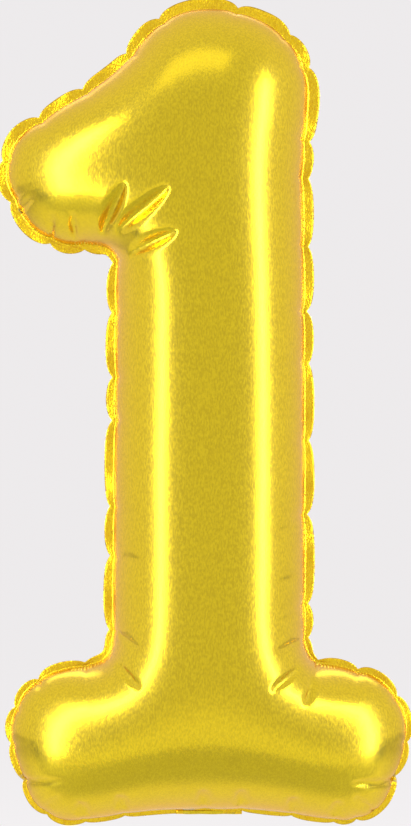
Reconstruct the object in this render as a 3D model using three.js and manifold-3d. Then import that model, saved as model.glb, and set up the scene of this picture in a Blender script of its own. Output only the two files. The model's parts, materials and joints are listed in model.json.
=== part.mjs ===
// Foil number balloon: the figure "1", two gold film panels welded together round the edge and filled with air.
// A flat self-sealing valve stands inside above the middle of the foot. The tail is folded up behind the foot.
// Millimetres. +Z is up, the front of the figure faces -Y, and X = 0 is the axis of the stem.
// The origin is the hanging point: the middle of the welded margin at the very top, in the plane of the seam.
import * as THREE from "three";
import { mergeVertices } from "three/addons/utils/BufferGeometryUtils.js";
import Module from "manifold-3d";

const wasm = await Module();
wasm.setup();

// The welded margin lies outside the seam line.
const MARGIN = 3.5;
const SEAM_TOP = -MARGIN / 2; // the origin is half way across the margin

// The seam line of the filled figure: each corner's X and Z before it is rounded, and its radius.
const HEAD_RIGHT = [44.5, -16, 34]; // the head swells a little past the stem
const HEAD_TOP = [10, SEAM_TOP, 30];
const BROW = [-17, SEAM_TOP, 34];
const BROW_FOOT = [-41, -30, 22];
const FLAG_TIP = [-93.3, -63, 23];
const FLAG_HEEL = [-72, -102, 28];
const FLAG_ROOT = [-39, -102, 5]; // the inner corner under the flag
const NAPE = [40, -72, 80]; // where the swelling of the head runs out into the stem
const ARM_ROOT = [40.5, -277.5, 6]; // the foot is the same to left and right
const ARM_END = [91, -288, 26];
const TOE = [71, -346.5, 20];
const FOOT_MIDDLE = [18, -338.5, 60]; // the foot is flat between this and its mirror image
const FOOT_BOTTOM = FOOT_MIDDLE[1];

// The films. Real film is 0.05 mm thick: each is drawn thicker here, so that it is a sound solid.
const FOIL = 0.6;
const VALVE_FILM = 0.25;
const INK = 0.1;
const GAP = 0.2; // between films that lie on each other
const VALVE_FACE = INK / 2 + GAP; // inner face of each valve film, from the seam plane
const WELD_HALF = VALVE_FACE + VALVE_FILM; // half the thickness of the weld that fills the seam
const SEAT = WELD_HALF + GAP; // inner face of each panel's margin

// The valve and the tail.
const VALVE_HALF = 11;
const VALVE_HEIGHT = 62;
const VALVE_WELD = 2; // width of the weld down each edge of the valve
const VALVE_WELD_SHORT = [1, 5]; // how far that weld stops short of the film's bottom and top
const VALVE_CORNERS = [0.5, 4]; // radii at the bottom and at the top
const INK_SIZE = [14, 12];
const INK_RISE = 0.5; // above the margin's edge
const TAIL_HALF = 14;
const TAIL_WELD = 3;
const TAIL_ROOT_LENGTH = 30;
const TAIL_TIP_LENGTH = 26;
const TAIL_FACE = 0.3; // inner face of each tail film
const TAIL_FILM = 0.5;
const TAIL_WELD_HALF = 0.1;
const CREASE_DROP = 0.3; // from the margin's edge down to the first crease
const CREASE_CLEARANCE = 2.3; // film left out beside the first crease, so that the tail can turn
const SECOND_CREASE_CLEARANCE = 1.2;
const TAIL_ROOT_FOLD = 110; // degrees from hanging straight down to tucked up behind
const TAIL_TIP_FOLD = 34;

// Where the pieces meet.
const JOIN_OVERLAP = 0.3; // how far each panel's margin runs into its dome's wall
const EDGE_INSET = 0.3; // the weld stops this far inside the margin's edge and outside the seam line
const PASSAGE_SPARE = 1; // the valve's way through the weld is cut this much past the weld's edges

// How finely the film is drawn.
const SEAM_STEP = 7;
const MAX_TURN = 22; // degrees of arc between two points of the seam
const GRID = 8;
const RING_RADIUS = 38; // radius of the round edge that the rings of vertices are spaced for
const RING_ARCS = [0, 7, 14, 21];
const NARROWEST = 4; // mm2, so that a sliver of a triangle doesn't upset the solution
const SOLVED = 1e-8;
const MOST_STEPS = 400;
const SAME_POINT = 1e-3; // points nearer than this are one point of the seam
const SAME_CORNER = 1e-4; // and of a solid's surface

const degrees = THREE.MathUtils.degToRad;

// An outline through corners [x, z, radius], anticlockwise, with each corner rounded by an arc.
function roundedOutline(corners) {
  const shape = new THREE.Shape();
  corners.forEach(([x, z, radius], i) => {
    const corner = new THREE.Vector2(x, z);
    const before = new THREE.Vector2(...corners.at(i - 1)).sub(corner).normalize();
    const after = new THREE.Vector2(...corners.at((i + 1) % corners.length)).sub(corner).normalize();
    const halfAngle = Math.acos(before.dot(after)) / 2;
    const reach = radius / Math.tan(halfAngle);
    const centre = before.clone().add(after).setLength(radius / Math.sin(halfAngle)).add(corner);
    const start = before.clone().multiplyScalar(reach).add(corner).sub(centre);
    const end = after.clone().multiplyScalar(reach).add(corner).sub(centre);
    const clockwise = before.cross(after) > 0;
    shape.absarc(centre.x, centre.y, radius, start.angle(), end.angle(), clockwise);
  });
  shape.closePath();
  return shape;
}

// The seam line of the figure, from the middle of the foot round anticlockwise.
function figureOutline() {
  const foot = [FOOT_MIDDLE, TOE, ARM_END, ARM_ROOT];
  const otherFoot = foot.map(([x, z, radius]) => [-x, z, radius]).reverse();
  const head = [NAPE, HEAD_RIGHT, HEAD_TOP, BROW, BROW_FOOT];
  const flag = [FLAG_TIP, FLAG_HEEL, FLAG_ROOT];
  return roundedOutline([...foot, ...head, ...flag, ...otherFoot]);
}

// The outline as a closed line of points, closer together round its arcs.
function seamPoints(shape) {
  const points = [];
  for (const curve of shape.curves) {
    const length = curve.getLength();
    const turn = curve.isEllipseCurve ? THREE.MathUtils.radToDeg(length / curve.xRadius) : 0;
    const steps = Math.max(1, Math.ceil(length / SEAM_STEP), Math.ceil(turn / MAX_TURN));
    points.push(...curve.getSpacedPoints(steps).slice(0, -1));
  }
  return points.filter((p, i) => p.distanceTo(points.at(i - 1)) > SAME_POINT);
}

// The line moved sideways, outwards where distance is positive.
function offsetLine(line, distance) {
  return line.map((p, i) => {
    const before = line.at(i - 1);
    const after = line.at((i + 1) % line.length);
    const along = after.clone().sub(before).normalize();
    return new THREE.Vector2(p.x + along.y * distance, p.y - along.x * distance);
  });
}

function isInside(line, p) {
  let inside = false;
  line.forEach((b, i) => {
    const a = line.at(i - 1);
    const spans = a.y > p.y !== b.y > p.y;
    if (spans && p.x < a.x + ((p.y - a.y) / (b.y - a.y)) * (b.x - a.x)) inside = !inside;
  });
  return inside;
}

function distanceTo(line, p) {
  return Math.min(
    ...line.map((b, i) => {
      const a = line.at(i - 1);
      const edge = b.clone().sub(a);
      const share = THREE.MathUtils.clamp(p.clone().sub(a).dot(edge) / edge.lengthSq(), 0, 1);
      return edge.multiplyScalar(share).add(a).distanceTo(p);
    }),
  );
}

// The flat figure as triangles: rings of points that crowd towards the seam, and a square grid within them.
function flatMesh(seam) {
  const points = [];
  const triangles = [];
  const insets = RING_ARCS.map((arc) => RING_RADIUS * (1 - Math.cos(arc / RING_RADIUS)));
  const rings = insets.map((inset) => offsetLine(seam, -inset));
  rings.forEach((ring) => points.push(...ring));
  for (let ring = 1; ring < rings.length; ring++) {
    for (let i = 0; i < seam.length; i++) {
      const next = (i + 1) % seam.length;
      const outer = (ring - 1) * seam.length;
      const inner = ring * seam.length;
      triangles.push([outer + i, outer + next, inner + next], [outer + i, inner + next, inner + i]);
    }
  }

  const lastRing = rings.at(-1);
  const box = new THREE.Box2().setFromPoints(lastRing);
  const columns = Math.ceil((box.max.x - box.min.x) / GRID);
  const rows = Math.ceil((box.max.y - box.min.y) / GRID);
  const gridIndex = new Map();
  const cornerIndex = (column, row) => {
    const place = `${column},${row}`;
    if (!gridIndex.has(place)) {
      gridIndex.set(place, points.length);
      points.push(new THREE.Vector2(box.min.x + column * GRID, box.min.y + row * GRID));
    }
    return gridIndex.get(place);
  };

  // Each square that stands clear of the last ring. What is left of their edges bounds the grid.
  const edges = new Map();
  for (let row = 0; row < rows; row++) {
    for (let column = 0; column < columns; column++) {
      const middle = new THREE.Vector2(box.min.x + (column + 0.5) * GRID, box.min.y + (row + 0.5) * GRID);
      if (!isInside(lastRing, middle) || distanceTo(lastRing, middle) < GRID) continue;
      const corners = [
        cornerIndex(column, row),
        cornerIndex(column + 1, row),
        cornerIndex(column + 1, row + 1),
        cornerIndex(column, row + 1),
      ];
      const [a, b, c, d] = corners;
      triangles.push([a, b, c], [a, c, d]);
      corners.forEach((from, i) => {
        const to = corners[(i + 1) % 4];
        if (!edges.delete(`${to},${from}`)) edges.set(`${from},${to}`, [from, to]);
      });
    }
  }
  const follows = new Map(edges.values());
  const border = [[...follows.keys()][0]];
  while (border.length < follows.size) border.push(follows.get(border.at(-1)));

  // The strip between the last ring and the grid.
  const strip = [...lastRing.keys()].map((i) => (rings.length - 1) * seam.length + i);
  const hole = border.reverse();
  const index = [...strip, ...hole];
  const holePoints = hole.map((i) => points[i]);
  for (const face of THREE.ShapeUtils.triangulateShape([...lastRing], [holePoints])) {
    triangles.push(face.map((i) => index[i]));
  }
  return { points, triangles };
}

// How far each point of the film stands off the seam plane: the height is sqrt(2 phi), where phi solves
// laplacian(phi) = -1 with phi = 0 on the seam. A long straight limb then has the round section of a filled tube.
function inflatedHeights({ points, triangles }, fixedCount) {
  const links = [];
  const load = new Float64Array(points.length);
  for (const triangle of triangles) {
    triangle.forEach((i, k) => {
      const j = triangle[(k + 1) % 3];
      const apex = points[triangle[(k + 2) % 3]];
      const toI = points[i].clone().sub(apex);
      const toJ = points[j].clone().sub(apex);
      const doubleArea = Math.abs(toI.cross(toJ));
      links.push([i, j, toI.dot(toJ) / Math.max(doubleArea, NARROWEST) / 2]);
      load[i] += doubleArea / 6;
    });
  }
  const stiffness = (x) => {
    const y = new Float64Array(x.length);
    for (const [i, j, weight] of links) {
      y[i] += weight * (x[i] - x[j]);
      y[j] += weight * (x[j] - x[i]);
    }
    return y.fill(0, 0, fixedCount);
  };
  const dot = (a, b) => a.reduce((sum, value, i) => sum + value * b[i], 0);
  const phi = new Float64Array(points.length);
  const residual = load.slice().fill(0, 0, fixedCount);
  const direction = residual.slice();
  let size = dot(residual, residual);
  const target = size * SOLVED;
  for (let step = 0; step < MOST_STEPS && size > target; step++) {
    const image = stiffness(direction);
    const stride = size / dot(direction, image);
    phi.forEach((_, i) => (phi[i] += stride * direction[i]));
    residual.forEach((_, i) => (residual[i] -= stride * image[i]));
    const newSize = dot(residual, residual);
    direction.forEach((value, i) => (direction[i] = residual[i] + (newSize / size) * value));
    size = newSize;
  }
  return phi.map((value) => Math.sqrt(2 * Math.max(value, 0)));
}

// The front half of the filled figure as a closed skin of film, open only towards the seam plane.
function domeGeometry(seam) {
  const flat = flatMesh(seam);
  const heights = inflatedHeights(flat, seam.length);
  const outer = flat.points.map((p, i) => new THREE.Vector3(p.x, -SEAT - heights[i], p.y));
  const skin = new THREE.BufferGeometry().setFromPoints(outer).setIndex(flat.triangles.flat());
  skin.computeVertexNormals();
  const outwards = offsetLine(seam, 1).map((p, i) => new THREE.Vector3(p.x - seam[i].x, 0, p.y - seam[i].y));
  const inner = outer.map((p, i) => {
    const normal = outwards[i] ?? new THREE.Vector3().fromBufferAttribute(skin.attributes.normal, i);
    return p.clone().addScaledVector(normal, -FOIL);
  });
  const lining = flat.triangles.map(([a, b, c]) => [a, c, b].map((i) => i + outer.length));
  const rim = seam.flatMap((_, i) => {
    const next = (i + 1) % seam.length;
    return [
      [next, i, i + outer.length],
      [next, i + outer.length, next + outer.length],
    ];
  });
  return new THREE.BufferGeometry()
    .setFromPoints([...outer, ...inner])
    .setIndex([...flat.triangles, ...lining, ...rim].flat());
}

// A flat sheet with the given outline in X and Z, between two values of Y.
function sheetGeometry(shape, front, back) {
  return new THREE.ExtrudeGeometry(shape, { depth: back - front, bevelEnabled: false })
    .rotateX(Math.PI / 2)
    .translate(0, back, 0);
}

function band(outerLine, innerLine) {
  const shape = new THREE.Shape(outerLine);
  shape.holes.push(new THREE.Path(innerLine));
  return shape;
}

function rectangle(left, right, bottom, top) {
  return new THREE.Shape([
    new THREE.Vector2(left, bottom),
    new THREE.Vector2(right, bottom),
    new THREE.Vector2(right, top),
    new THREE.Vector2(left, top),
  ]);
}

function solid(geometry) {
  const bare = geometry.clone();
  bare.deleteAttribute("normal");
  bare.deleteAttribute("uv");
  const merged = mergeVertices(bare, SAME_CORNER);
  return new wasm.Manifold(
    new wasm.Mesh({
      numProp: 3,
      vertProperties: new Float32Array(merged.attributes.position.array),
      triVerts: new Uint32Array(merged.index.array),
    }),
  );
}

function geometryOf(made) {
  const mesh = made.getMesh();
  return new THREE.BufferGeometry()
    .setAttribute("position", new THREE.BufferAttribute(mesh.vertProperties, 3))
    .setIndex(new THREE.BufferAttribute(mesh.triVerts, 1));
}

const foilOutside = new THREE.MeshStandardMaterial({ color: 0xd6ae24, roughness: 0.22, metalness: 1 });
const clearFilm = new THREE.MeshStandardMaterial({ color: 0xe6ebee, roughness: 0.3, metalness: 0 });
const weldedFilm = new THREE.MeshStandardMaterial({ color: 0xc9a02c, roughness: 0.45, metalness: 0.8 });
const releaseInk = new THREE.MeshStandardMaterial({ color: 0x3a6ea5, roughness: 0.6, metalness: 0 });

function named(name, geometry, material) {
  const mesh = new THREE.Mesh(geometry, material);
  mesh.name = name;
  return mesh;
}

const balloon = new THREE.Group();
const seam = seamPoints(figureOutline());
const marginEdge = offsetLine(seam, MARGIN);

// The two panels are one shape, mirrored in the seam plane.
const marginBand = band(marginEdge, offsetLine(seam, -JOIN_OVERLAP));
const margin = solid(sheetGeometry(marginBand, -SEAT - FOIL, -SEAT));
const panel = geometryOf(solid(domeGeometry(seam)).add(margin));
balloon.add(named("front_panel", panel, foilOutside));
const backPanel = named("back_panel", panel, foilOutside);
backPanel.scale.y = -1;
balloon.add(backPanel);

// The weld all round, open only where the valve passes through it.
const weldBand = band(offsetLine(seam, MARGIN - EDGE_INSET), offsetLine(seam, EDGE_INSET));
const weldRing = solid(sheetGeometry(weldBand, -WELD_HALF, WELD_HALF));
const marginBottom = FOOT_BOTTOM - MARGIN;
const passageHalf = VALVE_HALF + GAP;
const passageTop = FOOT_BOTTOM + PASSAGE_SPARE;
const passage = rectangle(-passageHalf, passageHalf, marginBottom - PASSAGE_SPARE, passageTop);
const passageCut = solid(sheetGeometry(passage, -SEAT, SEAT));
balloon.add(named("seam_weld", geometryOf(weldRing.subtract(passageCut)), weldedFilm));

// The valve: two strips of clear film welded down both edges. A printed patch keeps the way through open.
const valveTop = marginBottom + VALVE_HEIGHT;
const [mouthRadius, valveRadius] = VALVE_CORNERS;
const valveStrip = roundedOutline([
  [-VALVE_HALF, marginBottom, mouthRadius],
  [VALVE_HALF, marginBottom, mouthRadius],
  [VALVE_HALF, valveTop, valveRadius],
  [-VALVE_HALF, valveTop, valveRadius],
]);
balloon.add(named("valve_front_film", sheetGeometry(valveStrip, -WELD_HALF, -VALVE_FACE), clearFilm));
balloon.add(named("valve_back_film", sheetGeometry(valveStrip, VALVE_FACE, WELD_HALF), clearFilm));
const [shortBelow, shortAbove] = VALVE_WELD_SHORT;
const valveWeld = rectangle(
  VALVE_HALF - VALVE_WELD, VALVE_HALF - GAP, marginBottom + shortBelow, valveTop - shortAbove,
);
const rightValveWeld = sheetGeometry(valveWeld, -INK / 2, INK / 2);
balloon.add(named("valve_right_weld", rightValveWeld, clearFilm));
const leftValveWeld = named("valve_left_weld", rightValveWeld, clearFilm);
leftValveWeld.scale.x = -1;
balloon.add(leftValveWeld);
const [inkWidth, inkHeight] = INK_SIZE;
const inkBottom = marginBottom + INK_RISE;
const inkPatch = rectangle(-inkWidth / 2, inkWidth / 2, inkBottom, inkBottom + inkHeight);
balloon.add(named("valve_release_patch", sheetGeometry(inkPatch, -INK / 2, INK / 2), releaseInk));

// One length of the tail, hanging down from its crease: two foil films and the weld down each edge.
function tailLength(name, length, topClearance, bottomClearance) {
  const group = new THREE.Group();
  const top = -topClearance;
  const bottom = bottomClearance - length;
  const film = rectangle(-TAIL_HALF, TAIL_HALF, bottom, top);
  const frontFilm = sheetGeometry(film, -TAIL_FACE - TAIL_FILM, -TAIL_FACE);
  group.add(named(`${name}_front_film`, frontFilm, foilOutside));
  group.add(named(`${name}_back_film`, sheetGeometry(film, TAIL_FACE, TAIL_FACE + TAIL_FILM), foilOutside));
  const weld = rectangle(TAIL_HALF - TAIL_WELD, TAIL_HALF - GAP, bottom + GAP, top - GAP);
  const rightWeld = sheetGeometry(weld, -TAIL_WELD_HALF, TAIL_WELD_HALF);
  group.add(named(`${name}_right_weld`, rightWeld, weldedFilm));
  const leftWeld = named(`${name}_left_weld`, rightWeld, weldedFilm);
  leftWeld.scale.x = -1;
  group.add(leftWeld);
  return group;
}

const tailRoot = tailLength("tail_root", TAIL_ROOT_LENGTH, CREASE_CLEARANCE, SECOND_CREASE_CLEARANCE);
tailRoot.position.z = marginBottom - CREASE_DROP;
tailRoot.rotation.x = degrees(TAIL_ROOT_FOLD);
const tailTip = tailLength("tail_tip", TAIL_TIP_LENGTH, SECOND_CREASE_CLEARANCE, 0);
tailTip.position.z = -TAIL_ROOT_LENGTH;
tailTip.rotation.x = degrees(TAIL_TIP_FOLD);
tailRoot.add(tailTip);
balloon.add(tailRoot);

export default balloon;
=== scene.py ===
"""A gold foil number balloon, the figure 1, for Blender 4.5.

The CAD frame gives the margin's edge, the sizes and the bodies. The film is made here: two panels of thin
foil, filled and puckered along their weld, the clear valve inside, and the filling tail folded up behind.
"""

import json
import math

import bmesh
import bpy
import numpy as np
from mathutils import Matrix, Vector, geometry


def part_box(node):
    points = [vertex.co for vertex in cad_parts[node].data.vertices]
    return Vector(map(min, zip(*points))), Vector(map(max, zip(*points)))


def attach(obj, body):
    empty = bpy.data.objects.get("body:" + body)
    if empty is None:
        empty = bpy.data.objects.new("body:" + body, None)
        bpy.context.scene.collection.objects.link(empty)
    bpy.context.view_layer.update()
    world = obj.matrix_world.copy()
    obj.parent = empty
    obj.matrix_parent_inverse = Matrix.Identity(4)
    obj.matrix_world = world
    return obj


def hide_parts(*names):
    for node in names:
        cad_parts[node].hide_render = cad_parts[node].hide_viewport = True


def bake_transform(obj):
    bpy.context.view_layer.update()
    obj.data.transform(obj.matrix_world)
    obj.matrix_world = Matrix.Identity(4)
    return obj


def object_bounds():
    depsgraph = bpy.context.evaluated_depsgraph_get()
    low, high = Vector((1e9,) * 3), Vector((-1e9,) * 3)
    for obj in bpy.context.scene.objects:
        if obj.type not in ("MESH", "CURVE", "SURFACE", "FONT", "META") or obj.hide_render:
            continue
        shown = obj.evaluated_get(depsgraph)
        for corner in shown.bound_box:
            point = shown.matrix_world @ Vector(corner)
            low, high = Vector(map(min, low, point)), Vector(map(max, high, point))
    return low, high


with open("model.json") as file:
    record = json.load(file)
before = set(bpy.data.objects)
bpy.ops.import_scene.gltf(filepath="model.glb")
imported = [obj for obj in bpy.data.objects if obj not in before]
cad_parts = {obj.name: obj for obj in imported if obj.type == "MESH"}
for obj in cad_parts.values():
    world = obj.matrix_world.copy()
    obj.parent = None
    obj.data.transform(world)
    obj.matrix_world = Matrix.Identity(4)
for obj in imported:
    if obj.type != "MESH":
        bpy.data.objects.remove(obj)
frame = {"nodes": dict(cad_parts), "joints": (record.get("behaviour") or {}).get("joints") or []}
cad_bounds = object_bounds()

MM = 0.001

# The figure
LIMB_RADIUS = 40 * MM  # of a filled limb's round section
RING_STEP = 1.3 * MM  # between rings of points, along that section
RINGS = 18
CELL = 1.4 * MM  # between points elsewhere on the film
SEAM_STEP = 1.3 * MM
FILM = 0.08 * MM
FILM_GAP = 0.2 * MM  # from the seam plane to each film
MARGIN_AT_HEAD = 4.3 * MM
MARGIN_AT_STEM = 3.4 * MM
MARGIN_AT_FOOT = 2.3 * MM
MARGIN_SHARES = (1.0, 0.8, 0.6, 0.4, 0.2)  # rows of points across it, the outermost first
STEM_FROM, STEM_FULL = 60 * MM, 90 * MM  # above the foot's lower edge, where it widens to the stem's
HEAD_FROM, HEAD_FULL = 130 * MM, 30 * MM  # below the top, where it widens to the head's
FOOT_TRIM = 0.5 * MM  # taken off the margin's edge round the foot, except beside the tail
TRIM_FROM, TRIM_FULL = 14 * MM, 30 * MM  # from the stem's axis
RING_GROWTH = 0.02  # each ring's points are this share of SEAM_STEP further apart than the last one's
NET_CLEARANCE = 0.75  # of a cell, between the last ring and the even net
SOLVED, MOST_STEPS = 1e-9, 1500  # where the filled height's solver stops

# Notches, where the weld gathers a pucker and the margin is drawn in behind it: X and Z of each, in mm.
NOTCHES = [
    # down the right side of the head and stem, and round the foot's right end
    (34.5, -13), (42.5, -27), (42.5, -57.6), (41.5, -73.7), (41, -103), (41, -130), (41, -152.5),
    (40.5, -184), (40.5, -215.6), (40.3, -253), (40.5, -268), (46, -279), (63, -282), (79, -292.8),
    (84.5, -311.8), (80, -327), (62, -344),
    # round the flag, down the left side of the stem, and round the foot's left end
    (-20, -8), (-34, -22), (-52, -39), (-71, -49), (-86, -66), (-84, -84), (-66, -99), (-53, -101.5),
    (-40, -109.7), (-40, -130.4), (-40, -158.4), (-40, -176.2), (-40, -213), (-40, -232.6), (-41, -264),
    (-52, -280), (-72, -285), (-83, -297), (-85, -313), (-80, -328), (-68, -342),
    # at the top
    (12, -3),
]  # fmt: skip
NOTCH_SEED = 11
NOTCH_SHARES = (0.6, 1.0)  # a notch's strength is drawn between these
DIMPLE_SHARE = 0.45  # a dimple's strength as a notch
EDGE_PULL = 2.3 * MM  # how far a notch draws in the margin's edge
SEAM_PULL = 0.7 * MM  # and the seam line beside it
NOTCH_WIDTH = 2.6 * MM
BULGE = 0.9 * MM  # how far the margin's edge swells out between two notches
BULGE_SPAN = 26 * MM  # notches this far apart leave the full swelling
LOW_SWELL, MORE_SWELL = 0.35, 0.65  # the swelling's share at the foot's lower edge, and what is added above
SWELL_FROM, SWELL_FULL = -335 * MM, -320 * MM  # in Z, where that is added
PULL_REACH = 2.5 * MM
COCKLE = 0.8 * MM  # how far the margin waves to front and back
COCKLE_MEAN, COCKLE_SWING = 0.45, 0.55
LONG_WAVE, SHORT_WAVE = 5.3 * MM, 2.3 * MM  # how far along the seam each wave takes for one radian
PUCKER_DEPTH = 0.7 * MM
PUCKER_LENGTH = 6 * MM

# Creases pressed into the film: X and Z of the end by the seam and of the inner end, width and depth,
# all in mm.
CREASES = [
    # where the flag meets the stem
    (-44.5, -99, -34.5, -80, 7.5, 3.4),
    (-38, -99, -16, -81.5, 9.0, 3.8),
    (-33, -107.5, -13, -99.5, 7.5, 3.4),
    # where the stem meets the foot
    (-38, -264, -28, -269.5, 3.8, 1.3),
    (-38, -276, -28, -285, 4.8, 2.0),
    (38, -267, 27.5, -270.5, 4.0, 1.3),
    (38, -277, 25, -285.5, 4.8, 2.0),
    (43.5, -282, 39.5, -292, 4.2, 1.7),
    # ends of the foot
    (80, -327.5, 58, -325, 5.0, 1.4),
    (-80, -327, -60, -324, 4.6, 1.0),
    (70, -341, 60, -331, 5.0, 1.4),
    (-70, -340, -62, -331, 4.6, 1.0),
    # the flag's underside and end
    (-66.5, -99, -65, -91, 3.8, 1.5),
    (-56, -101, -56.5, -90, 3.8, 1.5),
    (-80, -88, -73, -83, 4.4, 1.4),
]
# Dimples along the foot's lower edge: X and Z of each, then their length, width and depth, all in mm.
DIMPLES = [(-52.5, -340), (-36, -336.5), (-2, -334), (13.5, -334), (35, -337.5), (53.5, -340)]
DIMPLE = (7.0, 4.2, 1.8)
DIMPLE_FOLDS = ((-1.6, 1.0), (1.7, 0.7))  # its two folds: how far aside in mm, and their share of the depth
FOLD_LEAN = 0.6  # a fold ends this share as far aside
# Marks on the stem's flanks: the side and Z of each, then their length, width and depth, all in mm.
FLANK_MARKS = [
    (-1, -130), (-1, -178), (-1, -213.5), (-1, -232),
    (1, -107.5), (1, -151), (1, -220), (1, -241), (1, -257),
]  # fmt: skip
FLANK_MARK = (9, 4.0, 0.34)
FLANK_FROM = 36.5  # the marks' outer ends, in mm from the stem's axis
FLANK_SLOPE = 1.5  # how much lower their inner ends are, in mm
BACK_SHARE = 0.8  # the back panel's creases are this share as deep as the front's

# The tail and the valve
CREASE_RADIUS = 0.55 * MM
CREASE_ROWS = 8  # rows of points round each crease
ROW_STEP = 0.9 * MM  # between rows elsewhere
TAIL_TOP = 1.6 * MM  # where the tail starts, above the first crease
TO_FIRST_CREASE = 1.15 * MM
FIRST_TRIM, SECOND_TRIM = 0.9 * MM, 0.6 * MM  # what the creases take from the two lengths
TAIL_COLUMNS = 28
TAIL_FILM = 0.06 * MM
TAIL_GAP = 0.12 * MM  # from the tail's middle to each film
TAIL_OPENING = 0.2 * MM  # added to that between the welds, at a piece's far end
TAIL_RIPPLE = 0.06 * MM
OPEN_TO, WELD_FROM = 0.78, 0.79  # of the tail's half width
FIRST_BEND = (0.1 * MM, 2.4 * MM)  # in Y, a span about the first crease; finish_piece only checks that it is given
SECOND_BEND = 1.5 * MM  # before and after the second crease, used the same way
VALVE_WAVE = 0.04 * MM
WELD_CLEARANCE = 0.06 * MM  # what the fused band's thickness leaves between the films

# The studio, in metres
FLOOR_DROP = 0.35  # below the balloon
FLOOR_HALF = (3, 1.08, 1)  # half its width and its depth; it is flat, so the third changes nothing
FLOOR_MIDDLE = 0.61  # in Y


def smooth_closed(values, passes):
    """A closed line of points, each drawn towards the middle of its neighbours."""
    for _ in range(passes):
        values = 0.5 * values + 0.25 * (np.roll(values, 1, axis=0) + np.roll(values, -1, axis=0))
    return values


def even_closed(line, step):
    """The closed line again, as a Catmull-Rom curve with its points the same distance apart."""
    before, after, beyond = np.roll(line, 1, 0), np.roll(line, -1, 0), np.roll(line, -2, 0)
    fine = []
    for t in np.linspace(0, 1, 12, endpoint=False):
        fine.append(
            0.5
            * (
                2 * line
                + (after - before) * t
                + (2 * before - 5 * line + 4 * after - beyond) * t**2
                + (3 * line - before - 3 * after + beyond) * t**3
            )
        )
    fine = np.stack(fine, 1).reshape(-1, 2)
    lengths = np.linalg.norm(np.roll(fine, -1, 0) - fine, axis=1)
    along = np.concatenate([[0], np.cumsum(lengths)])
    closed = np.vstack([fine, fine[:1]])
    count = round(along[-1] / step)
    wanted = np.linspace(0, along[-1], count, endpoint=False)
    return np.stack([np.interp(wanted, along, closed[:, k]) for k in (0, 1)], 1)


def outward(line):
    """The unit normals of an anticlockwise closed line."""
    ahead = np.roll(line, -1, 0) - np.roll(line, 1, 0)
    normal = np.stack([ahead[:, 1], -ahead[:, 0]], 1)
    return normal / np.linalg.norm(normal, axis=1, keepdims=True)


def margin_edge():
    """The outer edge of the welded margin, from the CAD panel's flat back face, anticlockwise in X and Z."""
    mesh = bmesh.new()
    mesh.from_mesh(frame["nodes"]["front_panel"].data)
    bmesh.ops.remove_doubles(mesh, verts=mesh.verts, dist=1e-6)
    flat = max(v.co.y for v in mesh.verts)
    face = {f for f in mesh.faces if all(v.co.y > flat - 1e-5 for v in f.verts)}
    rim = {e for f in face for e in f.edges if sum(g in face for g in e.link_faces) == 1}
    top = max((v for e in rim for v in e.verts), key=lambda v: v.co.z)
    loop, edge = [top], next(e for e in top.link_edges if e in rim)
    while edge.other_vert(loop[-1]) is not top:
        loop.append(edge.other_vert(loop[-1]))
        edge = next(e for e in loop[-1].link_edges if e in rim and e is not edge)
    line = np.array([(v.co.x, v.co.z) for v in loop])
    mesh.free()
    ahead = np.roll(line, -1, 0)
    area = (line[:, 0] * ahead[:, 1] - ahead[:, 0] * line[:, 1]).sum()
    return line if area > 0 else line[::-1]


def inside(line, points):
    """Which points lie inside a closed line."""
    found = np.zeros(len(points), bool)
    ahead = np.roll(line, -1, 0)
    for (ax, az), (bx, bz) in zip(line, ahead):
        spans = (az > points[:, 1]) != (bz > points[:, 1])
        if az != bz:
            found ^= spans & (points[:, 0] < ax + (points[:, 1] - az) / (bz - az) * (bx - ax))
    return found


def nearest(line, points):
    """For each point, how far it is from the line's points and which of them is nearest."""
    away, which = np.empty(len(points)), np.empty(len(points), int)
    for start in range(0, len(points), 2000):
        part = points[start : start + 2000]
        apart = np.linalg.norm(part[:, None] - line[None], axis=2)
        which[start : start + 2000] = apart.argmin(1)
        away[start : start + 2000] = apart.min(1)
    return away, which


def filled_height(flat, triangles, held):
    """Height of the filled film over the seam plane: sqrt(2 phi), where phi solves laplacian(phi) = -1."""
    corners = flat[triangles]
    links, weights, load = [], [], np.zeros(len(flat))
    twice_area = np.abs(
        np.cross(corners[:, 1] - corners[:, 0], corners[:, 2] - corners[:, 0])
    ).clip(1e-9)
    for k in range(3):
        i, j, apex = triangles[:, k], triangles[:, (k + 1) % 3], corners[:, (k + 2) % 3]
        cotangent = ((flat[i] - apex) * (flat[j] - apex)).sum(1) / twice_area
        links.append(np.stack([i, j], 1))
        weights.append(cotangent / 2)
        load += np.bincount(i, twice_area / 6, len(flat))
    links, weights = np.vstack(links), np.concatenate(weights)

    def pull(x):
        flow = weights * (x[links[:, 0]] - x[links[:, 1]])
        total = np.bincount(links[:, 0], flow, len(x)) - np.bincount(links[:, 1], flow, len(x))
        total[held] = 0
        return total

    load[held] = 0
    phi, rest = np.zeros(len(flat)), load.copy()
    way, size = rest.copy(), rest @ rest
    target = size * SOLVED
    for _ in range(MOST_STEPS):
        if size < target:
            break
        image = pull(way)
        step = size / (way @ image)
        phi += step * way
        rest -= step * image
        size, before = rest @ rest, size
        way = rest + size / before * way
    return np.sqrt(2 * phi.clip(0))


def share_up(low, high, z):
    """0 below low, 1 above high, and a smooth rise between."""
    t = np.clip((z - low) / (high - low), 0, 1)
    return t * t * (3 - 2 * t)


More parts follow.
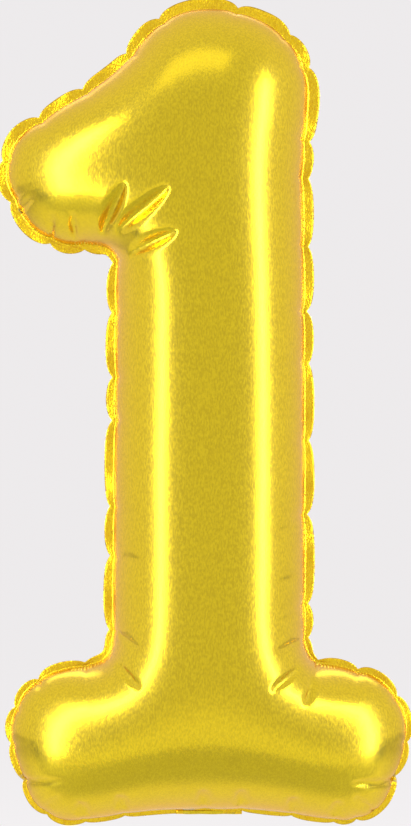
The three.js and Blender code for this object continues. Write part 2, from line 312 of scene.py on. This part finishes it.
def figure_lines():
    """The margin's edge and the seam line, point for point, before they pucker."""
    edge = even_closed(smooth_closed(even_closed(margin_edge(), SEAM_STEP), 3), SEAM_STEP)
    low, high = cad_bounds[0][2], cad_bounds[1][2]
    to_stem = share_up(low + STEM_FROM, low + STEM_FULL, edge[:, 1])
    to_head = share_up(high - HEAD_FROM, high - HEAD_FULL, edge[:, 1])
    wide = MARGIN_AT_FOOT + (MARGIN_AT_STEM - MARGIN_AT_FOOT) * to_stem
    wide = wide + (MARGIN_AT_HEAD - MARGIN_AT_STEM) * to_head
    clear_of_tail = share_up(TRIM_FROM, TRIM_FULL, np.abs(edge[:, 0]))
    trimmed = FOOT_TRIM * (1 - to_stem) * clear_of_tail
    normal = smooth_closed(outward(edge), 3)
    edge = edge - normal * trimmed[:, None]
    return edge, smooth_closed(edge - normal * wide[:, None], 3)


def notch_pull(seam):
    """How far the weld is drawn in at each point of the seam, and how far it swells out between, 0 to 1."""
    rng = np.random.default_rng(NOTCH_SEED)
    step = np.linalg.norm(np.roll(seam, -1, 0) - seam, axis=1).mean()
    places = [(x, z, rng.uniform(*NOTCH_SHARES)) for x, z in NOTCHES]
    places += [(x, z, DIMPLE_SHARE) for x, z in DIMPLES]
    index = np.arange(len(seam))
    pull = np.zeros(len(seam))
    ahead, behind = np.full(len(seam), np.inf), np.full(len(seam), np.inf)
    for x, z, share in places:
        at = np.linalg.norm(seam - np.array([x, z]) * MM, axis=1).argmin()
        away = np.abs((index - at + len(seam) / 2) % len(seam) - len(seam) / 2) * step
        pull = np.maximum(pull, share * np.exp(-away / NOTCH_WIDTH))
        behind = np.minimum(behind, (index - at) % len(seam) * step)
        ahead = np.minimum(ahead, (at - index) % len(seam) * step)
    apart = np.maximum(ahead + behind, step)
    swell = 4 * ahead * behind / apart**2 * np.minimum(1, apart / BULGE_SPAN)
    swell *= LOW_SWELL + MORE_SWELL * share_up(SWELL_FROM, SWELL_FULL, seam[:, 1])
    return pull, swell


def flat_film(edge, seam, pull, swell):
    """The flat figure as points and triangles: margin, seam, rings crowded by the seam, and an even net."""
    normal = smooth_closed(outward(seam), 2)
    drawn = pull[:, None] * SEAM_PULL
    outer = edge + normal * (swell * BULGE - pull * EDGE_PULL)[:, None]
    inner = seam - normal * drawn
    margins = [inner + (outer - inner) * share for share in MARGIN_SHARES]
    insets = [LIMB_RADIUS * (1 - math.cos(k * RING_STEP / LIMB_RADIUS)) for k in range(1, RINGS + 1)]
    rings = []
    for k, inset in enumerate(insets):
        ring = seam - normal * (inset + drawn * math.exp(-inset / PULL_REACH))
        rings.append(even_closed(ring, SEAM_STEP * (1 + RING_GROWTH * k)))
    last = rings[-1]
    low, high = seam.min(0), seam.max(0)
    rows = []
    for k, z in enumerate(np.arange(low[1], high[1], CELL * math.sqrt(3) / 2)):
        across = np.arange(low[0] + (k % 2) * CELL / 2, high[0], CELL)
        rows.append(np.stack([across, np.full(len(across), z)], 1))
    net = np.concatenate(rows)
    net = net[inside(last, net)]
    net = net[nearest(last, net)[0] > CELL * NET_CLEARANCE]
    points = np.vstack([*margins, inner, *rings, net])
    count = len(seam)
    start = len(margins) * count
    rims = [(first + i, first + (i + 1) % count) for first in (0, start) for i in range(count)]
    made = geometry.delaunay_2d_cdt([Vector(p) for p in points], rims, [], 1, 1e-7)
    flat = np.array([tuple(p) for p in made[0]])
    source = np.array([ids[0] for ids in made[3]])
    return flat, np.array(made[2]), source, start, count


def leaf(flat, near, far, width):
    """A crease's dent, 0 to 1: sharp along its middle and along its curved edges, widest in its middle."""
    near, far = np.array(near) * MM, np.array(far) * MM
    along = far - near
    length = np.linalg.norm(along)
    along = along / length
    u = (flat - near) @ along / length
    v = (flat - near) @ np.array([-along[1], along[0]])
    arch = np.clip(4 * u * (1 - u), 0, 1)
    half = width * MM / 2 * np.sqrt(arch).clip(1e-3)
    across = np.abs(v) / half
    return np.where((u > 0) & (u < 1), np.clip(1 - across, 0, None) * arch**0.5, 0)


def dents(flat):
    """How deep each point of the film is pressed in by the creases, dimples and marks."""
    deep = np.zeros(len(flat))
    for x0, z0, x1, z1, width, depth in CREASES:
        deep += depth * MM * leaf(flat, (x0, z0), (x1, z1), width)
    length, width, depth = DIMPLE
    for x, z in DIMPLES:
        for shift, share in DIMPLE_FOLDS:
            far = (x + FOLD_LEAN * shift, z + length)
            deep += share * depth * MM * leaf(flat, (x + shift, z - 1), far, width)
    length, width, depth = FLANK_MARK
    for hand, z in FLANK_MARKS:
        far = (hand * (FLANK_FROM - length), z - FLANK_SLOPE)
        deep += depth * MM * leaf(flat, (hand * FLANK_FROM, z), far, width)
    return deep


def vertex_normals(points, triangles):
    """The unit normal at each point, from the triangles round it weighted by their areas."""
    corners = points[triangles]
    normal = np.cross(corners[:, 1] - corners[:, 0], corners[:, 2] - corners[:, 0])
    total = np.stack(
        [
            sum(np.bincount(triangles[:, k], normal[:, axis], len(points)) for k in range(3))
            for axis in range(3)
        ],
        1,
    )
    return total / np.linalg.norm(total, axis=1, keepdims=True).clip(1e-12)


def mesh_piece(name, points, triangles):
    """A new object at the origin, with its place in its mesh."""
    data = bpy.data.meshes.new(name)
    data.from_pydata([tuple(p) for p in points], [], [tuple(int(i) for i in t) for t in triangles])
    data.validate()
    piece = bpy.data.objects.new(name, data)
    bpy.context.scene.collection.objects.link(piece)
    return piece


def smooth_shaded(piece):
    piece.data.polygons.foreach_set("use_smooth", [True] * len(piece.data.polygons))


def finish_piece(piece, bodies, nodes, materials, between=None):
    """Puts on its materials, parents it to its first body or, with between given, only bakes its place into
    its mesh, and hides the CAD nodes it stands for.
    """
    for made in materials:
        piece.data.materials.append(made)
    if between:
        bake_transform(piece)
    else:
        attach(piece, bodies[0])
    if nodes:
        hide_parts(*nodes)


def panels(edge, seam, pull, swell, gold, margin_gold):
    """Both panels of film, each with its margin, and the weld between the margins."""
    flat, triangles, source, start, count = flat_film(edge, seam, pull, swell)
    held = source < start + count
    height = filled_height(flat, triangles, held)
    away, which = nearest(seam, flat)
    outside = np.where(source < start, away, 0) / MARGIN_AT_STEM
    wave = np.sin(which * SEAM_STEP / LONG_WAVE) + 0.5 * np.sin(which * SEAM_STEP / SHORT_WAVE + 1.3)
    cockle = COCKLE * outside * (COCKLE_MEAN + COCKLE_SWING * wave)
    pucker = pull[which] * PUCKER_DEPTH * np.exp(-away / PUCKER_LENGTH) * ~held
    on_margin = (source[triangles] < start).any(1)
    for name, side, node in (("front_film", -1, "front_panel"), ("back_film", 1, "back_panel")):
        faces = triangles[:, ::-1] if side > 0 else triangles
        points = np.stack([flat[:, 0], side * (FILM_GAP + height) + cockle, flat[:, 1]], 1)
        normal = vertex_normals(points, faces)
        if (normal[:, 1] * side).mean() < 0:
            faces, normal = faces[:, ::-1], -normal
        pressed = dents(flat) * (1.0 if side < 0 else BACK_SHARE)
        points = points - normal * (pressed + pucker)[:, None]
        points[:, 1] = np.where(held, points[:, 1], side * np.maximum(side * points[:, 1], FILM_GAP))
        piece = mesh_piece(name, points, faces)
        smooth_shaded(piece)
        piece.data.polygons.foreach_set("material_index", on_margin.astype(np.int32))
        skin = piece.modifiers.new("Film thickness", "SOLIDIFY")
        skin.thickness, skin.offset = FILM, -1
        finish_piece(piece, ["balloon"], [node], [gold, margin_gold])
    return flat, triangles, source, start, count, cockle


# Materials


def socket(shader, name, value):
    shader.inputs[name].default_value = value


def material(name):
    made = bpy.data.materials.new(name)
    made.use_nodes = True
    return made, made.node_tree.nodes, made.node_tree.links, made.node_tree.nodes["Principled BSDF"]


def film_grain_group():
    """Drawn film's fine grain, longer up the figure than across it, and slow changes of tone."""
    group = bpy.data.node_groups.new("Film grain", "ShaderNodeTree")
    group.interface.new_socket("Place", in_out="INPUT", socket_type="NodeSocketVector")
    group.interface.new_socket("Height", in_out="OUTPUT", socket_type="NodeSocketFloat")
    group.interface.new_socket("Tone", in_out="OUTPUT", socket_type="NodeSocketFloat")
    nodes, links = group.nodes, group.links
    start, end = nodes.new("NodeGroupInput"), nodes.new("NodeGroupOutput")
    drawn = nodes.new("ShaderNodeMapping")
    drawn.inputs["Scale"].default_value = (1.0, 1.0, 0.45)
    fine, broad = nodes.new("ShaderNodeTexNoise"), nodes.new("ShaderNodeTexNoise")
    fine.inputs["Scale"].default_value = 1500
    fine.inputs["Detail"].default_value = 3
    broad.inputs["Scale"].default_value = 45
    broad.inputs["Detail"].default_value = 2
    links.new(start.outputs["Place"], drawn.inputs["Vector"])
    for noise in (fine, broad):
        links.new(drawn.outputs["Vector"], noise.inputs["Vector"])
    links.new(fine.outputs["Fac"], end.inputs["Height"])
    links.new(broad.outputs["Fac"], end.inputs["Tone"])
    return group


def weld_mark_group():
    """The grid of small pips that the hot welding die presses into the film."""
    group = bpy.data.node_groups.new("Weld marks", "ShaderNodeTree")
    group.interface.new_socket("Place", in_out="INPUT", socket_type="NodeSocketVector")
    group.interface.new_socket("Height", in_out="OUTPUT", socket_type="NodeSocketFloat")
    nodes, links = group.nodes, group.links
    start, end = nodes.new("NodeGroupInput"), nodes.new("NodeGroupOutput")
    pips = nodes.new("ShaderNodeTexVoronoi")
    pips.inputs["Scale"].default_value = 1300
    links.new(start.outputs["Place"], pips.inputs["Vector"])
    links.new(pips.outputs["Distance"], end.inputs["Height"])
    return group


def foil(name, grain, colours, gloss_range, coat, weld=None):
    """Metallised film under clear lacquer. With weld marks it is the margin, where the die has pressed it."""
    made, nodes, links, shader = material(name)
    place = nodes.new("ShaderNodeTexCoord")
    marks = nodes.new("ShaderNodeGroup")
    marks.node_tree = grain
    links.new(place.outputs["Object"], marks.inputs["Place"])
    colour = nodes.new("ShaderNodeMix")
    colour.data_type = "RGBA"
    colour.inputs["A"].default_value, colour.inputs["B"].default_value = colours
    speckle = nodes.new("ShaderNodeMapRange")
    speckle.inputs["From Min"].default_value, speckle.inputs["From Max"].default_value = 0.36, 0.64
    links.new(marks.outputs["Height"], speckle.inputs["Value"])
    links.new(speckle.outputs["Result"], colour.inputs["Factor"])
    links.new(colour.outputs["Result"], shader.inputs["Base Color"])
    gloss = nodes.new("ShaderNodeMapRange")
    gloss.inputs["From Min"].default_value, gloss.inputs["From Max"].default_value = 0.3, 0.7
    gloss.inputs["To Min"].default_value, gloss.inputs["To Max"].default_value = gloss_range
    links.new(marks.outputs["Height"], gloss.inputs["Value"])
    links.new(gloss.outputs["Result"], shader.inputs["Roughness"])
    socket(shader, "Metallic", 1.0)
    socket(shader, "Specular Tint", (1.0, 0.66, 0.24, 1))
    socket(shader, "Coat Weight", coat)
    socket(shader, "Coat Roughness", 0.30)
    bump = nodes.new("ShaderNodeBump")
    bump.inputs["Strength"].default_value = 0.5
    bump.inputs["Distance"].default_value = 0.00008
    links.new(marks.outputs["Height"], bump.inputs["Height"])
    last = bump
    if weld:
        pips = nodes.new("ShaderNodeGroup")
        pips.node_tree = weld
        links.new(place.outputs["Object"], pips.inputs["Place"])
        last = nodes.new("ShaderNodeBump")
        last.inputs["Strength"].default_value = 0.6
        last.inputs["Distance"].default_value = 0.0003
        links.new(pips.outputs["Height"], last.inputs["Height"])
        links.new(bump.outputs["Normal"], last.inputs["Normal"])
    links.new(last.outputs["Normal"], shader.inputs["Normal"])
    return made


def plain_film(name, grain, colour, roughness, see_through):
    """Film or ink without metal, its colour slightly uneven. see_through is its alpha: 1 is solid."""
    made, nodes, links, shader = material(name)
    place = nodes.new("ShaderNodeTexCoord")
    marks = nodes.new("ShaderNodeGroup")
    marks.node_tree = grain
    links.new(place.outputs["Object"], marks.inputs["Place"])
    tint = nodes.new("ShaderNodeMix")
    tint.data_type = "RGBA"
    tint.inputs["A"].default_value = colour
    tint.inputs["B"].default_value = tuple(0.88 * c for c in colour[:3]) + (1,)
    links.new(marks.outputs["Tone"], tint.inputs["Factor"])
    links.new(tint.outputs["Result"], shader.inputs["Base Color"])
    socket(shader, "Roughness", roughness)
    socket(shader, "Alpha", see_through)
    return made


# The tail and the valve


def tail_path(hinges, lengths, turns, radius):
    """Points in Y and Z down the tail and round each crease, each with its heading from straight down."""
    points, heading = [], 0.0
    place = np.array([0.0, hinges[0].z + TAIL_TOP])
    legs = [TO_FIRST_CREASE, lengths[0] - FIRST_TRIM, lengths[1] - SECOND_TRIM]
    for leg, turn in zip(legs, [*turns, None]):
        way = np.array([math.sin(heading), -math.cos(heading)])
        for t in np.linspace(0, leg, max(3, round(leg / ROW_STEP))):
            points.append((place + way * t, heading))
        place = place + way * leg
        if turn is None:
            break
        for k in range(1, CREASE_ROWS + 1):
            middle = heading + turn * (k - 0.5) / CREASE_ROWS
            place = place + np.array([math.sin(middle), -math.cos(middle)]) * radius * turn / CREASE_ROWS
            points.append((place.copy(), heading + turn * k / CREASE_ROWS))
        heading += turn
    return points


def tail_film(name, path, half, side):
    """One film of the tail: welded down both edges, and a little open between them towards its far end."""
    mesh = bmesh.new()
    bmesh.ops.create_grid(mesh, x_segments=TAIL_COLUMNS, y_segments=len(path) - 1, size=1)
    for vert in mesh.verts:
        x, row = vert.co.x, round((vert.co.y + 1) / 2 * (len(path) - 1))
        (y, z), heading = path[row]
        share = row / (len(path) - 1)
        off = side * (TAIL_GAP + TAIL_OPENING * share * max(0.0, 1 - (x / OPEN_TO) ** 2))
        off += TAIL_RIPPLE * math.sin(9 * x + 13 * share)
        vert.co = (x * half, y + off * math.cos(heading), z + off * math.sin(heading))
    bmesh.ops.recalc_face_normals(mesh, faces=mesh.faces)
    data = bpy.data.meshes.new(name)
    mesh.to_mesh(data)
    mesh.free()
    piece = bpy.data.objects.new(name, data)
    bpy.context.scene.collection.objects.link(piece)
    smooth_shaded(piece)
    for polygon in data.polygons:
        polygon.material_index = int(abs(polygon.center.x) > half * WELD_FROM)
    skin = piece.modifiers.new("Film thickness", "SOLIDIFY")
    skin.thickness, skin.offset = TAIL_FILM, 0
    return piece


def hinge(name):
    """Where a joint's axis is."""
    joint = next(j for j in frame["joints"] if j["name"] == name)
    return Vector(joint["pos_m"])


def tail_nodes(length, word):
    """The CAD nodes that one film stands for. The front film stands for the two edge welds too."""
    welds = [f"{length}_{hand}_weld" for hand in ("left", "right")] if word == "front" else []
    return [f"{length}_{word}_film", *welds]


def tail(gold, margin_gold):
    """The filling tail, creased twice.

    Each piece bends at one crease, and they meet half way down the first length.
    """
    first, second = hinge("tail_root_crease"), hinge("tail_tip_crease")
    along = second - first
    first_turn = math.atan2(along.y, -along.z)
    tip_low, tip_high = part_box("tail_tip_front_film")
    tip_length = math.hypot(tip_high[1] - second.y, tip_high[2] - second.z)
    second_turn = math.atan2(tip_high[1] - second.y, -(tip_high[2] - second.z)) - first_turn
    path = tail_path([first, second], [along.length, tip_length], [first_turn, second_turn], CREASE_RADIUS)
    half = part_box("tail_root_front_film")[1][0]
    split = next(i for i, (place, _) in enumerate(path) if place[0] > along.y / 2)
    way = along.normalized()
    onward = Vector((0, math.sin(first_turn + second_turn), -math.cos(first_turn + second_turn)))
    at_first = tuple((0, y, first.z) for y in FIRST_BEND)
    at_second = (tuple(second - way * SECOND_BEND), tuple(second + onward * SECOND_BEND))
    for word, side in (("front", -1), ("back", 1)):
        upper = tail_film(f"tail_upper_{word}", path[: split + 1], half, side)
        nodes = tail_nodes("tail_root", word)
        finish_piece(upper, ["balloon", "tail_root"], nodes, [gold, margin_gold], at_first)
        lower = tail_film(f"tail_lower_{word}", path[split:], half, side)
        nodes = tail_nodes("tail_tip", word)
        finish_piece(lower, ["tail_root", "tail_tip"], nodes, [gold, margin_gold], at_second)


def valve_sheet(name, node, front, back):
    """A flat sheet the size of the CAD node, as thin as the real film, pressed into a slight wave."""
    low, high = (Vector(corner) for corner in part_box(node))
    mesh = bmesh.new()
    bmesh.ops.create_grid(mesh, x_segments=12, y_segments=30, size=0.5)
    for vert in mesh.verts:
        x, up = vert.co.x + 0.5, vert.co.y + 0.5
        wave = VALVE_WAVE * math.sin(5 * up) * math.sin(math.pi * x)
        vert.co = (low.x + x * (high.x - low.x), (front + back) / 2 + wave, low.z + up * (high.z - low.z))
    data = bpy.data.meshes.new(name)
    mesh.to_mesh(data)
    mesh.free()
    piece = bpy.data.objects.new(name, data)
    bpy.context.scene.collection.objects.link(piece)
    smooth_shaded(piece)
    skin = piece.modifiers.new("Film thickness", "SOLIDIFY")
    skin.thickness, skin.offset = back - front, 0
    return piece


def valve(clear, ink):
    """The valve's films, welds and patch."""
    # each one's front and back in Y, in mm, its material and its slot
    sheets = {
        "valve_front_film": (-0.09, -0.05, clear, "clear_film"),
        "valve_back_film": (0.05, 0.09, clear, "clear_film"),
        "valve_right_weld": (-0.03, 0.03, clear, "clear_film"),
        "valve_left_weld": (-0.03, 0.03, clear, "clear_film"),
        "valve_release_patch": (-0.03, 0.03, ink, "release_ink"),
    }
    for node, (front, back, finish, slot_name) in sheets.items():
        piece = valve_sheet(f"{node}_thin", node, front * MM, back * MM)
        finish_piece(piece, ["balloon"], [node], [finish])


def margin_weld(flat, triangles, source, start, count, cockle, melted):
    """The fused band between the two margins, which closes their edge."""
    used = (source[triangles] < start + count).all(1)
    faces = triangles[used]
    kept = np.unique(faces)
    place = np.full(len(flat), -1)
    place[kept] = np.arange(len(kept))
    points = np.stack([flat[kept][:, 0], cockle[kept], flat[kept][:, 1]], 1)
    piece = mesh_piece("margin_weld", points, place[faces])
    smooth_shaded(piece)
    band = piece.modifiers.new("Weld thickness", "SOLIDIFY")
    band.thickness, band.offset = 2 * FILM_GAP - WELD_CLEARANCE, 0
    finish_piece(piece, ["balloon"], ["seam_weld"], [melted])


# The studio


def aim(thing, target):
    thing.rotation_euler = (Vector(target) - thing.location).to_track_quat("-Z", "Y").to_euler()


def softbox(name, place, target, width, height, power):
    """An evenly lit rectangle, in metres and watts, turned to face its target."""
    light = bpy.data.lights.new(name, "AREA")
    light.shape = "RECTANGLE"
    light.size, light.size_y, light.energy = width, height, power
    box = bpy.data.objects.new(name, light)
    box.location = place
    bpy.context.scene.collection.objects.link(box)
    aim(box, target)
    return light


def room_light():
    """A pale room: bright behind the balloon, less so on the camera's side, and brighter low down."""
    world = bpy.data.worlds.new("Pale room")
    bpy.context.scene.world = world
    world.use_nodes = True
    nodes, links = world.node_tree.nodes, world.node_tree.links
    way = nodes.new("ShaderNodeTexCoord")
    split = nodes.new("ShaderNodeSeparateXYZ")
    links.new(way.outputs["Generated"], split.inputs["Vector"])
    depth = nodes.new("ShaderNodeMapRange")
    depth.inputs["From Min"].default_value, depth.inputs["From Max"].default_value = -0.75, 0.1
    depth.inputs["To Min"].default_value, depth.inputs["To Max"].default_value = 0.70, 0.85
    links.new(split.outputs["Y"], depth.inputs["Value"])
    low = nodes.new("ShaderNodeMapRange")
    low.interpolation_type = "SMOOTHSTEP"
    low.inputs["From Min"].default_value, low.inputs["From Max"].default_value = -0.45, -0.1
    low.inputs["To Min"].default_value, low.inputs["To Max"].default_value = 1.3, 1.0
    links.new(split.outputs["Z"], low.inputs["Value"])
    both = nodes.new("ShaderNodeMath")
    both.operation = "MULTIPLY"
    links.new(depth.outputs["Result"], both.inputs[0])
    links.new(low.outputs["Result"], both.inputs[1])
    links.new(both.outputs["Value"], nodes["Background"].inputs["Strength"])
    tint = nodes.new("ShaderNodeMix")
    tint.data_type = "RGBA"
    tint.inputs["A"].default_value = (0.99, 1.0, 0.95, 1)
    tint.inputs["B"].default_value = (1.0, 0.975, 0.985, 1)
    warm = nodes.new("ShaderNodeMapRange")
    warm.inputs["From Min"].default_value, warm.inputs["From Max"].default_value = -0.6, 0.1
    links.new(split.outputs["Y"], warm.inputs["Value"])
    links.new(warm.outputs["Result"], tint.inputs["Factor"])
    links.new(tint.outputs["Result"], nodes["Background"].inputs["Color"])


def backdrop(low):
    """A plain pale floor below the balloon, with painted shade in front of it: greyer there, so the foot's
    underside reflects darker.
    """
    mesh = bmesh.new()
    bmesh.ops.create_grid(mesh, x_segments=4, y_segments=4, size=1)
    bmesh.ops.scale(mesh, verts=mesh.verts, vec=FLOOR_HALF)
    bmesh.ops.translate(mesh, verts=mesh.verts, vec=(0, FLOOR_MIDDLE, low.z - FLOOR_DROP))
    data = bpy.data.meshes.new("Floor")
    mesh.to_mesh(data)
    mesh.free()
    floor = bpy.data.objects.new("Floor", data)
    bpy.context.scene.collection.objects.link(floor)
    paper, nodes, links, shader = material("Pale paper with painted shade")
    place, split, painted_shade_ramp = (nodes.new(f"ShaderNode{kind}") for kind in ("TexCoord", "SeparateXYZ", "MapRange"))
    painted_shade_ramp.interpolation_type = "SMOOTHSTEP"
    painted_shade_ramp.inputs["From Min"].default_value, painted_shade_ramp.inputs["From Max"].default_value = -0.15, 0.0
    # painted shade: the floor's front is greyer, so the foot's underside reflects a darker band
    tone = nodes.new("ShaderNodeMix")
    tone.data_type = "RGBA"
    tone.inputs["A"].default_value = (0.42, 0.44, 0.41, 1)
    tone.inputs["B"].default_value = (0.66, 0.66, 0.66, 1)
    links.new(place.outputs["Object"], split.inputs["Vector"])
    links.new(split.outputs["Y"], painted_shade_ramp.inputs["Value"])
    links.new(painted_shade_ramp.outputs["Result"], tone.inputs["Factor"])
    links.new(tone.outputs["Result"], shader.inputs["Base Color"])
    socket(shader, "Roughness", 0.8)
    data.materials.append(paper)


def studio():
    """The lights, the room, the floor, and a camera that looks along +Y and frames the balloon's height."""
    low, high = (Vector(corner) for corner in cad_bounds)
    middle = (low + high) / 2
    height = high.z - low.z
    softbox("Left strip", (-0.92, -0.54, middle.z + 0.2), middle, width=0.06, height=1.4, power=9)
    softbox("Right strip", (0.97, -0.42, middle.z + 0.15), middle, width=0.06, height=1.2, power=8)
    softbox("Top strip", (-0.1, -0.55, middle.z + 1.15), middle, width=1.0, height=0.3, power=0.55)
    back_of_floor = (0, 0.6, low.z - FLOOR_DROP)
    wash = softbox("Floor wash", (0, 1.1, middle.z + 0.8), back_of_floor, width=2.0, height=0.3, power=2.5)
    wash.spread = math.radians(90)
    room_light()
    backdrop(low)
    lens = bpy.data.cameras.new("Camera")
    lens.lens = 90
    lens.sensor_fit = "VERTICAL"
    lens.sensor_height = 36
    camera = bpy.data.objects.new("Camera", lens)
    camera.location = (middle.x, -height / lens.sensor_height * lens.lens, middle.z)
    aim(camera, middle)
    bpy.context.scene.collection.objects.link(camera)
    bpy.context.scene.camera = camera
    bpy.context.scene.view_settings.view_transform = "Standard"


studio()

grain, pips = film_grain_group(), weld_mark_group()
shades = ((0.75, 0.53, 0.001, 1), (0.90, 0.655, 0.004, 1))
margin_shades = ((0.93, 0.56, 0.004, 1), (0.99, 0.68, 0.010, 1))
gold = foil("Gold foil", grain, shades, (0.13, 0.24), 0.62)
margin_gold = foil("Gold foil, welded", grain, margin_shades, (0.24, 0.40), 0.5, pips)
melted = plain_film("Melted sealant", grain, (0.62, 0.46, 0.12, 1), 0.5, 1.0)
clear = plain_film("Clear film", grain, (0.86, 0.88, 0.89, 1), 0.28, 0.35)
ink = plain_film("Release ink", grain, (0.10, 0.22, 0.45, 1), 0.6, 1.0)

edge, seam = figure_lines()
pull, swell = notch_pull(seam)
weld_parts = panels(edge, seam, pull, swell, gold, margin_gold)
margin_weld(*weld_parts, melted)
tail(gold, margin_gold)
valve(clear, ink)
